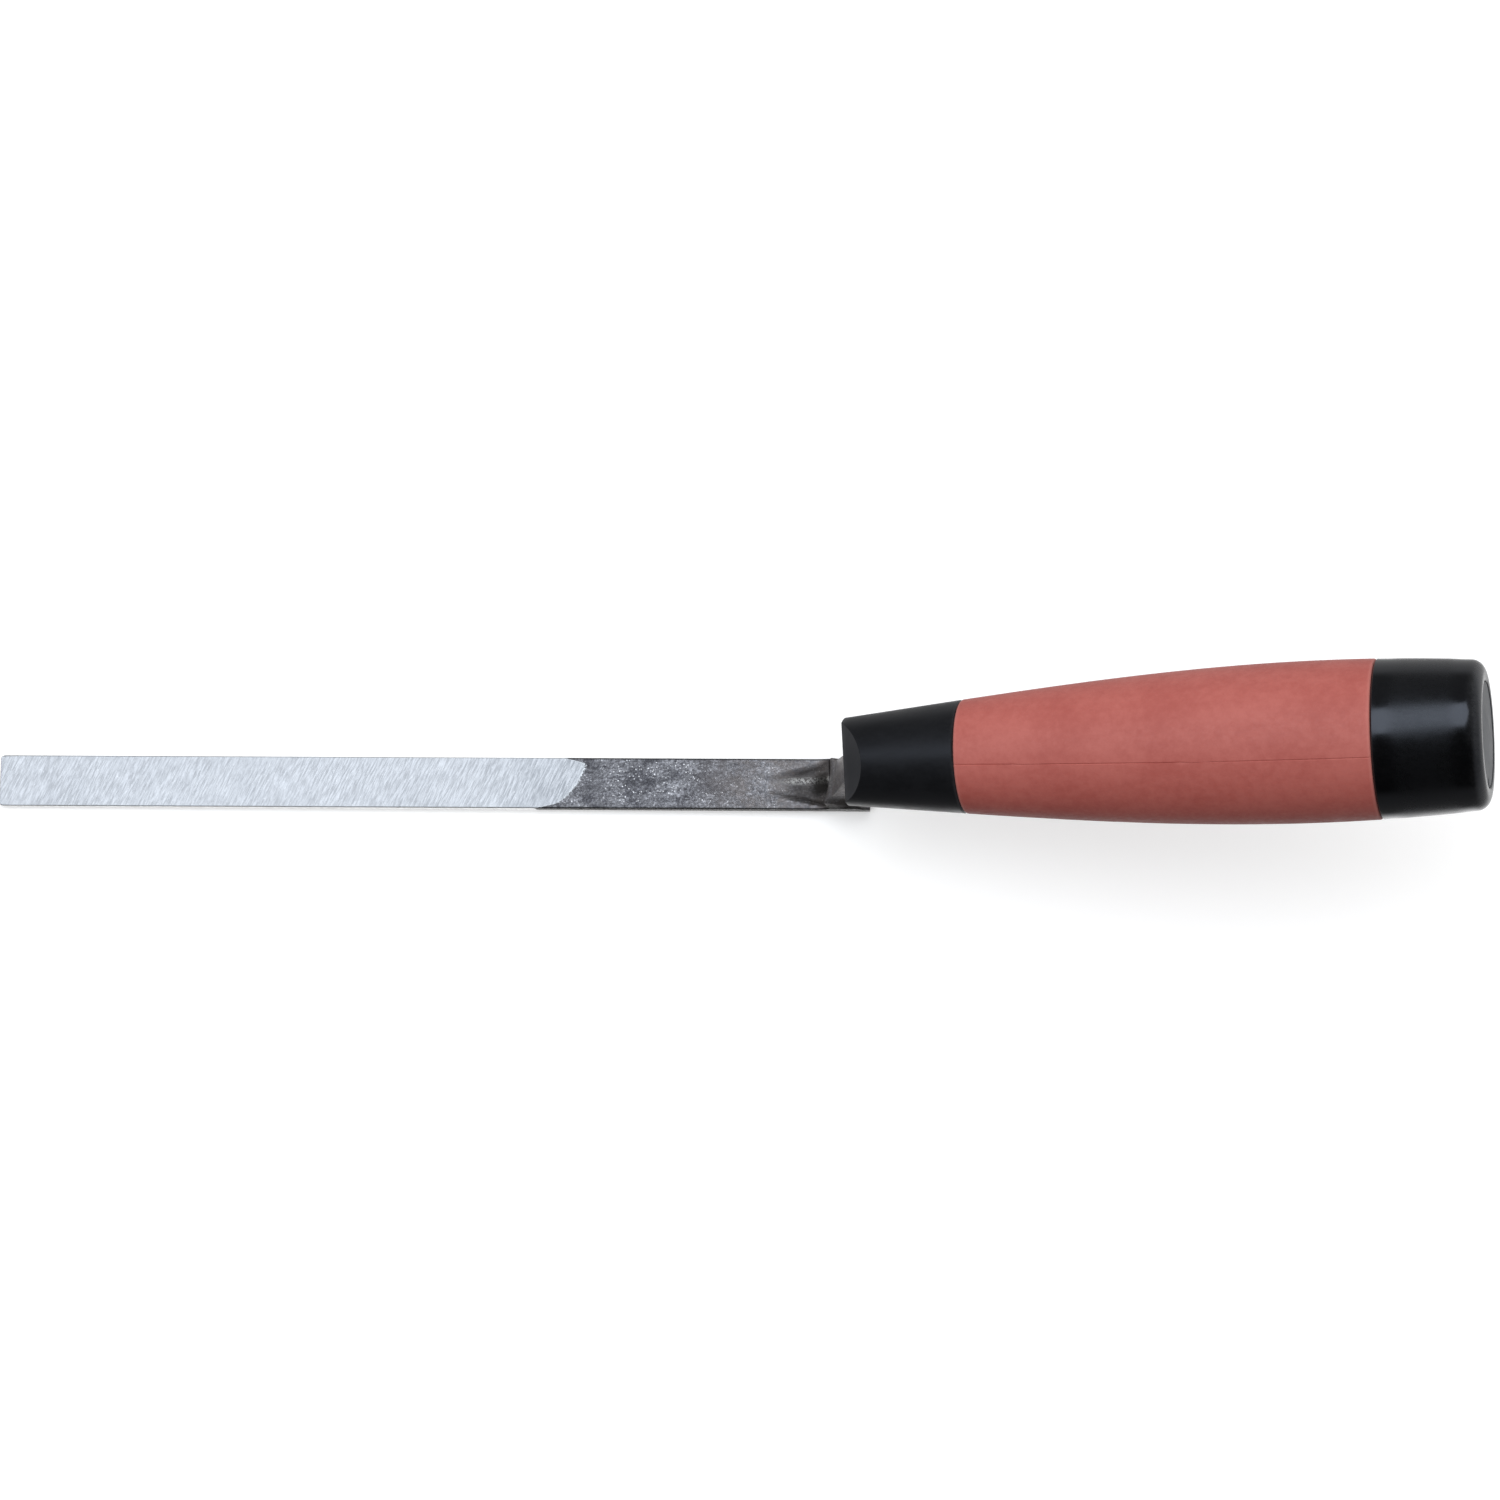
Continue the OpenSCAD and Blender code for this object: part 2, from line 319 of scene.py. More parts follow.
# %% [markdown]
# A grinder and a mould's polisher both leave long thin marks side by side. A noise that is squeezed across
# and stretched along the marks draws them. Turning the coordinates first sets the marks' angle.

# %% The scratches group
scratches, ends_in, ends_out = new_group(
    "scratches",
    [("Vector", "NodeSocketVector", None), ("Angle", "NodeSocketFloat", 0.0),
     ("Fineness", "NodeSocketFloat", 3.0), ("Length", "NodeSocketFloat", 12.0)],
    [("Mask", "NodeSocketFloat")])
turned_vector = node(scratches, "ShaderNodeVectorRotate", rotation_type="Z_AXIS")
scratches.links.new(ends_in.outputs["Vector"], turned_vector.inputs["Vector"])
scratches.links.new(ends_in.outputs["Angle"], turned_vector.inputs["Angle"])
split = node(scratches, "ShaderNodeSeparateXYZ")
scratches.links.new(turned_vector.outputs["Vector"], split.inputs["Vector"])
join = node(scratches, "ShaderNodeCombineXYZ")
stretched = math_node(scratches, "DIVIDE", split.outputs["X"], ends_in.outputs["Length"])
scratches.links.new(stretched, join.inputs["X"])
scratches.links.new(split.outputs["Y"], join.inputs["Y"])
scratches.links.new(product(scratches, split.outputs["Z"], 0.2), join.inputs["Z"])
lines = node(scratches, "ShaderNodeTexNoise")
lines.inputs["Detail"].default_value = 5.0
lines.inputs["Roughness"].default_value = 0.75
scratches.links.new(join.outputs["Vector"], lines.inputs["Vector"])
scratches.links.new(ends_in.outputs["Fineness"], lines.inputs["Scale"])
scratches.links.new(remap(scratches, lines.outputs["Fac"], 0.3, 0.7), ends_out.inputs["Mask"])
print("scratches has", len(scratches.nodes), "nodes")

# %% [markdown]
# Hands rub a moulding smoothest at its rims, where the mouldings also get painted highlights, and a hammer or
# a grinder works along a line. All are a band about one value of a coordinate, which fades to nothing at its
# width.

# %% The rim band group
rim_band, ends_in, ends_out = new_group(
    "rim_band",
    [("Along", "NodeSocketFloat", 0.0), ("Centre", "NodeSocketFloat", 0.0),
     ("Width", "NodeSocketFloat", 1.0)],
    [("Mask", "NodeSocketFloat")])
offset = math_node(rim_band, "SUBTRACT", ends_in.outputs["Along"], ends_in.outputs["Centre"])
share = math_node(rim_band, "DIVIDE", math_node(rim_band, "ABSOLUTE", offset), ends_in.outputs["Width"])
rim_band.links.new(remap(rim_band, share, 0.0, 1.0, 1.0, 0.0), ends_out.inputs["Mask"])
print("node groups:", [group.name for group in bpy.data.node_groups])

# %% [markdown]
# ## A material's common start
# All patterns are laid out in millimetres. On the handle they are turned into the handle's own space, where
# Z runs along its axis, so that a band or a seam is a plain number. A Mapping node of the Texture kind
# undoes the handle's place: it takes away the nose point and turns the axis upright.

# %% Material start
def start_material(name, on_handle=True):
    """(material, tree, Principled BSDF, position in millimetres)."""
    material = bpy.data.materials.new(name)
    material.use_nodes = True
    tree = material.node_tree
    shader = tree.nodes["Principled BSDF"]
    coordinates = node(tree, "ShaderNodeTexCoord")
    mapping = node(tree, "ShaderNodeMapping", vector_type="TEXTURE")
    tree.links.new(coordinates.outputs["Object"], mapping.inputs["Vector"])
    mapping.inputs["Scale"].default_value = (MM, MM, MM)
    if on_handle:
        mapping.inputs["Location"].default_value = nose_point
        mapping.inputs["Rotation"].default_value = (0.0, math.pi / 2.0 - lift, 0.0)
    return material, tree, shader, mapping.outputs["Vector"]


def use_group(tree, group, vector=None, **values):
    """Places a node group in a material and returns its Mask output."""
    made = node(tree, "ShaderNodeGroup", node_tree=group)
    if vector is not None:
        tree.links.new(vector, made.inputs[0])
    for key, value in values.items():
        if isinstance(value, (int, float)):
            made.inputs[key].default_value = value
        else:
            tree.links.new(value, made.inputs[key])
    return made.outputs["Mask"]


def add_bump(tree, shader, height, strength, distance):
    """Feeds a height, in units of distance, to the shader's normal."""
    bump = node(tree, "ShaderNodeBump")
    bump.inputs["Strength"].default_value = strength
    bump.inputs["Distance"].default_value = distance
    tree.links.new(height, bump.inputs["Height"])
    tree.links.new(bump.outputs["Normal"], shader.inputs["Normal"])

# %% [markdown]
# ## Forged and ground steel
# The blade is forged, which leaves a dark scale, and then the front two thirds is ground bright. The
# grinder runs out in a curved, ragged line. One material holds both finishes, because they are one piece of
# steel, and a mask along the blade switches between them. The line could be painted, but a formula keeps it
# sharp at any size: three parabolas over the blade's width bend it back from its crest.

# %% The run-out line
blade_low, blade_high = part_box("blade")
tip_x = blade_low.x
heel_x = -tip_x
half_w = blade_high.y
edge = half_w / MM

steel, tree, shader, spot = start_material("forged_steel", on_handle=False)
split = node(tree, "ShaderNodeSeparateXYZ")
tree.links.new(spot, split.inputs["Vector"])
along, across, above = split.outputs["X"], split.outputs["Y"], split.outputs["Z"]
from_middle = math_node(tree, "ABSOLUTE", across)

crest_x, crest_y, steep_y = 0.3453 * heel_x / MM, 3.6, -3.7
ragged = use_group(tree, mottle, spot, Large=0.5, Small=2.6)
run_out = total(tree, crest_x, product(tree, math_node(tree, "SUBTRACT", ragged, 0.5), 0.9))
for start, sign, growth in ((crest_y, -1.0, 0.09), (steep_y, -1.0, 1.6), (crest_y, 1.0, 2.2)):
    beyond = product(tree, math_node(tree, "SUBTRACT", across, start), sign)
    beyond = math_node(tree, "POWER", math_node(tree, "MAXIMUM", beyond, 0.0), 2.0)
    run_out = math_node(tree, "SUBTRACT", run_out, product(tree, beyond, growth))
past = math_node(tree, "SUBTRACT", along, run_out)
scale_mask = remap(tree, past, -0.25, 0.30)
# Painted highlight: a thin lighter line along the run-out stands for the light that a slight burr catches.
burr_highlight = use_group(tree, rim_band, Along=past, Centre=-0.3, Width=0.45)
print("the grinding stops at X, mm:", round(crest_x, 1))

# %% [markdown]
# Several marks lie over each other on the steel: grinding lines across the front, rolling lines along the
# whole blade, soft clouds, flecks of scale that were drawn out with the metal, fine grit, and bright specks
# where scale has chipped off. The specks crowd together ahead of the wedge.

# %% Marks on the steel
grind = use_group(tree, scratches, spot, Angle=math.radians(-65.0), Fineness=3.4, Length=10.0)
ticks = use_group(tree, scratches, spot, Angle=math.radians(-72.0), Fineness=2.2, Length=2.6)
rolling = use_group(tree, scratches, spot, Angle=math.radians(-8.0), Fineness=1.1, Length=14.0)
cloud = use_group(tree, mottle, spot, Large=0.22, Small=1.3)
drift = use_group(tree, mottle, spot, Large=0.10, Small=0.42)
grit = use_group(tree, mottle, spot, Large=2.2, Small=7.0)
drawn = node(tree, "ShaderNodeMapping")
tree.links.new(spot, drawn.inputs["Vector"])
drawn.inputs["Scale"].default_value = (0.42, 1.0, 1.0)
flecks = use_group(tree, mottle, drawn.outputs["Vector"], Large=0.42, Small=3.0)
chips = node(tree, "ShaderNodeTexVoronoi")
tree.links.new(spot, chips.inputs["Vector"])
chips.inputs["Scale"].default_value = 1.7
specks = remap(tree, chips.outputs["Distance"], 0.14, 0.32, 1.0, 0.0)
crowd = product(tree, use_group(tree, rim_band, Along=along, Centre=43.0, Width=19.0),
                use_group(tree, rim_band, Along=across, Centre=0.8, Width=5.0))
crowd = total(tree, flecks, product(tree, crowd, 0.35))
specks = product(tree, specks, remap(tree, crowd, 0.60, 0.85))
print("nodes in the steel so far:", len(tree.nodes))

# %% [markdown]
# The ground part is nearly one bright tone. The last passes of the grinder, just ahead of the run-out, show
# the most. A thin painted highlight runs along the run-out, where a slight burr catches the light, and the
# edges' bevels carry a painted highlight. A slight burr stays along the run-out, and the edges are worn
# bright.

# %% Ground colour
last_passes = remap(tree, along, 6.0, 22.0, 0.25, 0.85)
ground_colour = mix_colour(tree, cloud, (0.450, 0.460, 0.485), (0.505, 0.515, 0.540))
ground_colour = coat(tree, ground_colour, grind, last_passes, (0.36, 0.38, 0.41))
ground_colour = coat(tree, ground_colour, remap(tree, ticks, 0.86, 1.0), 0.7, (0.66, 0.67, 0.69))
ground_colour = coat(tree, ground_colour, burr_highlight, 0.5, (0.66, 0.68, 0.70))
# Painted highlight: the outermost bevel of each edge of the ground part is painted nearly white.
edge_highlight = remap(tree, from_middle, edge - 0.14, edge - 0.04)
ground_colour = mix_colour(tree, edge_highlight, ground_colour, (0.93, 0.94, 0.95))
print("nodes with the ground colour:", len(tree.nodes))

# %% [markdown]
# The scale goes from dark grey patches to pale worn ones, and turns brownish towards the neck, which stayed
# hot the longest. The raised wedge is painted darkest, partly for its darker scale and partly as painted
# shade of its sloping faces, apart from a row along its crown where hammer marks carry painted glints. A
# painted shadow sits in the crease at the neck's root, and the edges' bevels get a painted dark reflection.

# %% Scale colour
scale_colour = mix_colour(tree, flecks, (0.17, 0.17, 0.19), (0.68, 0.68, 0.73))
scale_colour = coat(tree, scale_colour, drift, 0.45, (0.46, 0.46, 0.49))
scale_colour = coat(tree, scale_colour, remap(tree, cloud, 0.42, 0.72), 0.68, (0.11, 0.11, 0.13))
scale_colour = coat(tree, scale_colour, rolling, 0.52, (0.09, 0.09, 0.10))
scale_colour = coat(tree, scale_colour, grit, 0.48, (0.070, 0.070, 0.080))
scale_colour = mix_colour(tree, specks, scale_colour, (0.95, 0.95, 0.98))
scale_colour = coat(tree, scale_colour, cloud, remap(tree, along, 46.0, 66.0, 0.0, 0.60), (0.50, 0.45, 0.43))

# Partly painted shade: the raised wedge is painted dark, for its darker scale and for the dark that its
# sloping faces reflect.
raised = product(tree, remap(tree, above, 2.35, 3.0), remap(tree, above, 5.0, 7.5, 1.0, 0.25))
scale_colour = coat(tree, scale_colour, raised, 0.72, (0.060, 0.054, 0.050))
# Painted glints: a row along the wedge's crown is painted pale, where hammer marks catch the light.
crown_line = use_group(tree, rim_band, Along=across, Centre=0.4, Width=1.1)
hammer_glints = product(tree, crown_line, raised, remap(tree, grit, 0.36, 0.66))
scale_colour = mix_colour(tree, hammer_glints, scale_colour, (0.70, 0.69, 0.67))

# Painted shadow: a nearly black spot in the crease at the neck's root, under the nose.
from_root = node(tree, "ShaderNodeVectorMath", operation="DISTANCE")
tree.links.new(spot, from_root.inputs[0])
from_root.inputs[1].default_value = (heel_x / MM - 9.5, -0.6, 4.0)
crease_shade = total(tree, from_root.outputs["Value"], product(tree, flecks, 0.8))
scale_colour = mix_colour(tree, remap(tree, crease_shade, 1.5, 3.6, 0.85, 0.0), scale_colour, (0.018, 0.017, 0.016))
# Painted dark reflection: the bevels of the scaled part are painted nearly black.
bevel_dark_reflection = remap(tree, from_middle, edge - 0.42, edge - 0.14, 0.0, 0.9)
scale_colour = mix_colour(tree, bevel_dark_reflection, scale_colour, (0.035, 0.034, 0.034))
print("nodes with the scale colour:", len(tree.nodes))

# %% [markdown]
# Both parts are bare metal to the shader, which is metallic everywhere. They differ in colour, in roughness
# and in relief: the scale is rough and pitted, and the ground steel only has its fine lines.

# %% Steel shader
tree.links.new(mix_colour(tree, scale_mask, ground_colour, scale_colour), shader.inputs["Base Color"])
ground_rough = remap(tree, grind, 0.0, 1.0, 0.30, 0.44)
scale_rough = remap(tree, grit, 0.0, 1.0, 0.34, 0.58)
tree.links.new(mix_value(tree, scale_mask, ground_rough, scale_rough), shader.inputs["Roughness"])
shader.inputs["Metallic"].default_value = 1.0
smooth_chips = math_node(tree, "SUBTRACT", 1.0, product(tree, specks, 0.4))
pits = product(tree, scale_mask, total(tree, flecks, grit), smooth_chips)
relief = total(tree, pits, product(tree, grind, 0.12), product(tree, rolling, 0.06))
add_bump(tree, shader, relief, 0.5, 0.05 * MM)
print("steel is done with", len(tree.nodes), "nodes")

# %% [markdown]
# ## Black mouldings
# The nose and the cap are the same black plastic from two moulds. The nose's mould was blasted, which
# prints a fine satin grain, and the cap's was polished. A real polished moulding still has faint waves and
# dust-fine marks, so its roughness isn't one number either. The disc and the hidden core are greyer mixes
# of the same plastic.

# %% Black plastics
def black_plastic(name, colour, shine, rough_low, rough_high, grain, grain_height, rims, polish=()):
    """A moulded dark plastic. shine is how strongly it reflects, rims are (station, width, share) bands
    painted lighter, painted highlights where the rounded rims of the nose and the cap catch the light, and
    polish are bands of the same kind that handling has rubbed smooth."""
    material, tree, shader, spot = start_material(name)
    split = node(tree, "ShaderNodeSeparateXYZ")
    tree.links.new(spot, split.inputs["Vector"])
    haze = use_group(tree, mottle, spot, Large=0.12, Small=1.1)
    marks = use_group(tree, scratches, spot, Angle=0.6, Fineness=1.7, Length=10.0)
    tint = mix_colour(tree, product(tree, haze, 0.5), colour, tuple(c * 1.7 + 0.002 for c in colour))
    # Painted highlight: each rim band is painted lighter, where a rounded rim catches the light.
    for station, width, share in rims:
        band = use_group(tree, rim_band, Along=split.outputs["Z"], Centre=station / MM, Width=width / MM)
        tint = coat(tree, tint, band, product(tree, haze, share), tuple(c * 3.0 + 0.02 for c in colour))
    tree.links.new(tint, shader.inputs["Base Color"])
    shader.inputs["Specular Tint"].default_value = (0.82, 0.87, 1.0, 1.0)
    shader.inputs["Specular IOR Level"].default_value = shine
    worn = total(tree, product(tree, haze, 0.6), product(tree, marks, 0.4))
    rough = remap(tree, worn, 0.0, 1.0, rough_low, rough_high)
    for station, width, share in polish:
        band = use_group(tree, rim_band, Along=split.outputs["Z"], Centre=station / MM, Width=width / MM)
        rough = math_node(tree, "SUBTRACT", rough, product(tree, band, share))
    tree.links.new(rough, shader.inputs["Roughness"])
    fine = node(tree, "ShaderNodeTexNoise")
    tree.links.new(spot, fine.inputs["Vector"])
    fine.inputs["Scale"].default_value = grain
    fine.inputs["Detail"].default_value = 3.0
    add_bump(tree, shader, fine.outputs["Fac"], 0.5, grain_height)
    return material


satin_black = black_plastic("satin_black", (0.003, 0.003, 0.0035), 0.42, 0.34, 0.46, 4.5, 0.012 * MM,
                            [(0.0, 1.4 * MM, 0.8), (bolster_end, 0.7 * MM, 0.6)])
gloss_black = black_plastic("gloss_black", (0.001, 0.001, 0.0011), 0.62, 0.25, 0.32, 0.35, 0.010 * MM,
                            [(cap_start, 0.6 * MM, 0.5), (handle_len - 1.2 * MM, 1.8 * MM, 0.6)],
                            [(cap_start + 1.8 * MM, 3.5 * MM, 0.13), (handle_len - 3.6 * MM, 3.0 * MM, 0.15)])
satin_grey = black_plastic("satin_grey", (0.058, 0.061, 0.066), 0.5, 0.42, 0.56, 3.5, 0.02 * MM,
                           [(handle_len, 0.5 * MM, 0.4)])
core_plastic = black_plastic("core_plastic", (0.05, 0.05, 0.055), 0.5, 0.4, 0.55, 1.5, 0.02 * MM, [])
print("plastics:", satin_black.name, gloss_black.name, satin_grey.name, core_plastic.name)

# %% [markdown]
# ## Soft red grip
# The grip is a thermoplastic rubber. It scatters light in a dusty way at a glancing angle, which is what
# the shader's sheen is for, and its surface is finely pebbled. Skin and cement rub the swell paler and
# leave a little grey in the pores.

# %% Grip material
soft_red, tree, shader, spot = start_material("soft_red")
split = node(tree, "ShaderNodeSeparateXYZ")
tree.links.new(spot, split.inputs["Vector"])
rubbed = use_group(tree, mottle, spot, Large=0.06, Small=0.5)
pores = use_group(tree, mottle, spot, Large=1.3, Small=6.5)
red = mix_colour(tree, rubbed, (0.36, 0.070, 0.055), (0.43, 0.105, 0.085))
red = coat(tree, red, pores, 0.12, (0.30, 0.10, 0.09))
# Painted highlight: the grip's two lips are painted paler, where their rounded edges catch the light.
for rim in (bolster_end, cap_start):
    band = use_group(tree, rim_band, Along=split.outputs["Z"], Centre=rim / MM, Width=0.9)
    red = coat(tree, red, band, 0.35, (0.55, 0.22, 0.19))
tree.links.new(red, shader.inputs["Base Color"])
tree.links.new(remap(tree, pores, 0.0, 1.0, 0.50, 0.66), shader.inputs["Roughness"])
shader.inputs["Sheen Weight"].default_value = 0.12
shader.inputs["Sheen Roughness"].default_value = 0.45
shader.inputs["Sheen Tint"].default_value = (1.0, 0.80, 0.77, 1.0)
add_bump(tree, shader, pores, 0.35, 0.03 * MM)
print("grip rims at, mm:", round(bolster_end / MM, 2), round(cap_start / MM, 2))

# %% [markdown]
# ## Washer steel
# The tang's washer is a plain stamping that nobody sees. It still gets a dull patina and turning marks, so
# that the tool can be taken apart on the screen.

# %% Washer material
washer_steel, tree, shader, spot = start_material("washer_steel")
rings = use_group(tree, scratches, spot, Angle=0.3, Fineness=2.5, Length=6.0)
patina = use_group(tree, mottle, spot, Large=0.4, Small=2.0)
tree.links.new(mix_colour(tree, patina, (0.50, 0.50, 0.50), (0.66, 0.66, 0.64)), shader.inputs["Base Color"])
tree.links.new(remap(tree, rings, 0.0, 1.0, 0.30, 0.50), shader.inputs["Roughness"])
shader.inputs["Metallic"].default_value = 1.0
add_bump(tree, shader, rings, 0.2, 0.02 * MM)
print("materials:", [material.name for material in bpy.data.materials])

# %% [markdown]
# ## The blade's plate
# The blade starts as a grid, closer set where the wedge and the neck will rise. Extruding the grid and
# keeping the original faces makes a closed slab. Its edges are bevelled before anything rises from it, so
# that the side walls run up into the neck without a groove. The tip's two corners are round: its first
# column of points is moved back by an arc.

# %% Blade plate
tip_t, heel_t = 1.2 * MM, 2.2 * MM
edge_bevel = 0.14 * MM
tip_corner_r = 0.7 * MM
dense_from = heel_x - 28.0 * MM
plain_share = 0.3


def station(u):
    """The X of a share u of the grid. Its first columns are wide apart, and the ones at the heel close."""
    if u < plain_share:
        return tip_x + (dense_from - tip_x) * u / plain_share
    return dense_from + (heel_x - dense_from) * (u - plain_share) / (1.0 - plain_share)


def plate_t(x):
    """Thickness of the plain blade at x."""
    return tip_t + (heel_t - tip_t) * (x - tip_x) / (heel_x - tip_x)


def corner_cut(y):
    """How far the tip's edge stands back at y, where its two corners are round."""
    into_corner = max(abs(y) - (half_w - tip_corner_r), 0.0)
    return tip_corner_r - math.sqrt(max(tip_corner_r ** 2 - into_corner ** 2, 0.0))


blade = bmesh.new()
bmesh.ops.create_grid(blade, x_segments=110, y_segments=24, size=1.0)
for v in blade.verts:
    u, across_share = (v.co.x + 1.0) / 2.0, v.co.y
    y = half_w * (across_share + math.sin(across_share * math.pi / 2.0)) / 2.0
    v.co = Vector((station(u) + (corner_cut(y) if u < 1e-6 else 0.0), y, 0.0))
lifted = bmesh.ops.extrude_face_region(blade, geom=blade.faces[:], use_keep_orig=True)
for v in (item for item in lifted["geom"] if isinstance(item, bmesh.types.BMVert)):
    v.co.z = plate_t(v.co.x)
bmesh.ops.recalc_face_normals(blade, faces=blade.faces)
rims = [e for e in blade.edges if len(e.link_faces) == 2 and e.calc_face_angle(0.0) > math.radians(60.0)]
bmesh.ops.bevel(blade, geom=rims, offset=edge_bevel, offset_type="OFFSET", segments=2, profile=0.5,
                affect="EDGES", material=-1)
print("plate faces:", len(blade.faces))

# %% [markdown]
# ## The wedge
# Ahead of the neck the smith leaves a wedge of metal that stiffens the blade. It starts as a blunt point on
# the middle line and spreads until it is nearly as wide as the blade. The grid is fine enough there to push
# its points up by a formula: a width, a height and a short steep flank.

# %% Wedge
wedge_tip_x = heel_x - 20.2 * MM
wedge_end_x = heel_x - 11.2 * MM
foot_front = heel_x - 7.9 * MM
foot_back = heel_x - 1.3 * MM
blunt_half, spread = 1.3 * MM, 2.9 * MM
crest_low, crest_gain = 0.35 * MM, 1.05 * MM
near_flank, far_flank = 0.7 * MM, 2.0 * MM
sweep_rise = 2.5 * MM
heel_run = 1.2 * MM
dent, dent_run = 0.05 * MM, 10.0 * MM


def ease(t):
    """A smooth step from 0 to 1."""
    t = min(max(t, 0.0), 1.0)
    return t * t * (3.0 - 2.0 * t)


def wedge_height(x, y):
    """How far the wedge stands above the plain blade at (x, y)."""
    u = (x - wedge_tip_x) / (wedge_end_x - wedge_tip_x)
    if u <= 0.0:
        return 0.0
    half = blunt_half + spread * min(u, 1.6) ** 0.62
    crest = crest_low + crest_gain * ease(u * 0.8)
    near = ease((half + y) / near_flank)
    far = ease((half - y) / far_flank)
    start = ease(u / 0.10)
    crown = 1.0 - 0.45 * min(abs(y) / half, 1.0) ** 2
    side = 1.0 - 0.8 * min(abs(y) / half_w, 1.0) ** 2
    run = min(max((x - wedge_end_x) / (foot_front - wedge_end_x), 0.0), 1.0)
    sweep = sweep_rise * side * run ** 2
    heel_fade = 1.0 - ease((x - foot_back + heel_run) / heel_run)
    return (crest * near * far * start * crown + sweep) * heel_fade


for v in blade.verts:
    if v.co.z > plate_t(v.co.x) * 0.5:
        forged = ease((v.co.x - dense_from) / dent_run)
        dents = dent * forged * noise.noise(v.co * 900.0)
        v.co.z += wedge_height(v.co.x, v.co.y) + dents
print("wedge top, mm:", round(max(v.co.z for v in blade.verts) / MM, 2))

# %% [markdown]
# ## The neck and the tang
# The neck is drawn out of the top of the slab: the faces of its foot are extruded again and again, and each
# new cap is laid on a section that two curves give, one for the neck's front and one for its back. The caps
# turn from a rectangle as wide as the blade to the round tang that runs through the handle. Each vertex
# remembers its place in the foot in a custom layer, which an extrusion copies.

# %% Neck and tang
tang_r, tang_start = 3.0 * MM, 8.0 * MM
peen, peen_edge, washer_gap = 0.5 * MM, 0.6 * MM, 0.02 * MM
_, washer_end = span("tang_washer")
tang_end = span("blade")[1]
head_r = 4.4 * MM
neck_half, neck_swell = 2.95 * MM, 0.5 * MM
foot_extra, foot_reach = half_w - 3.45 * MM, 0.10
front_skew = 0.36 * MM


def on_handle(s, v):
    """The point s along the handle's axis and v above it, in the plane of symmetry."""
    return nose_point + axis_dir * s + Vector((-axis_dir.z, 0.0, axis_dir.x)) * v


def curve_point(points, u):
    """A Bezier curve through its first and last control points."""
    points = [Vector(p) for p in points]
    while len(points) > 1:
        points = [a.lerp(b, u) for a, b in zip(points, points[1:])]
    return points[0]


def neck_xz(x, z):
    """A control point of the neck, from the heel, in millimetres."""
    return (heel_x + x * MM, 0.0, z * MM)


front_line = [neck_xz(-7.9, 5.9), neck_xz(-7.2, 6.9), neck_xz(-6.8, 9.0), neck_xz(-6.4, 16.0),
              neck_xz(-5.4, 25.0), on_handle(1.8 * MM, tang_r), on_handle(6.0 * MM, tang_r)]
back_line = [neck_xz(-1.3, 2.15), neck_xz(-2.8, 2.3), neck_xz(-3.0, 7.0), neck_xz(-3.2, 14.0),
             neck_xz(-3.4, 20.0), on_handle(3.6 * MM, -tang_r), on_handle(7.0 * MM, -tang_r)]

section = blade.verts.layers.float_vector.new("section")
foot = [f for f in blade.faces if f.normal.z > 0.2 and foot_front < f.calc_center_median().x < foot_back]
foot_verts = {v for f in foot for v in f.verts}
foot_low = min(v.co.x for v in foot_verts)
foot_high = max(v.co.x for v in foot_verts)
for v in foot_verts:
    v[section] = Vector(((v.co.x - foot_low) / (foot_high - foot_low) * 2.0 - 1.0, v.co.y / half_w, 0.0))


def lay_cap(verts, front, back, half_width, roundness, skew=0.0):
    """Lays the cap's vertices on a section between two points, from a rectangle (0) to an ellipse (1)."""
    middle, reach = (front + back) / 2.0, (back - front) / 2.0
    for v in verts:
        a, b, _ = v[section]
        round_a = a * math.sqrt(1.0 - 0.5 * b * b)
        round_b = b * math.sqrt(1.0 - 0.5 * a * a)
        a = a + (round_a - a) * roundness
        b = b + (round_b - b) * roundness
        ahead = skew * (1.0 - b) ** 2 * (1.0 - a) / 2.0
        v.co = middle + reach * a + Vector((-ahead, b * half_width, 0.0))


def extrude_cap(bm, cap):
    """Extrudes a cap of faces and returns the new cap."""
    grown = bmesh.ops.extrude_face_region(bm, geom=cap)["geom"]
    return [item for item in grown if isinstance(item, bmesh.types.BMFace)]


cap = foot
neck_levels = 26
for level in range(1, neck_levels + 1):
    u = level / neck_levels
    cap = extrude_cap(blade, cap)
    cap_verts = {v for f in cap for v in f.verts}
    width = neck_half + neck_swell * (1.0 - u) + foot_extra * math.exp(-u / foot_reach)
    width = width + (tang_r - width) * ease((u - 0.7) / 0.3)
    lay_cap(cap_verts, curve_point(front_line, u), curve_point(back_line, u), width, ease((u - 0.05) / 0.9),
            front_skew * (1.0 - ease(u / 0.35)))
for s, r in ((tang_start, tang_r), (washer_end - washer_gap, tang_r), (washer_end, head_r),
             (tang_end - peen, head_r), (tang_end, head_r - peen_edge)):
    cap = extrude_cap(blade, cap)
    cap_verts = {v for f in cap for v in f.verts}
    lay_cap(cap_verts, on_handle(s, r), on_handle(s, -r), r, 1.0)
bmesh.ops.recalc_face_normals(blade, faces=blade.faces)
make_piece(blade, "blade_forging", "blade", steel, on_handle=False)

# %% [markdown]
# ## The nose
# The nose is turned as a blank with its tang hole and its socket, then a flat is cut across its top front
# corner, where the thumb rests. `bisect_plane` cuts and the hole is filled with one face. The rims are
# bevelled last, so that the flat's border is rounded with them.

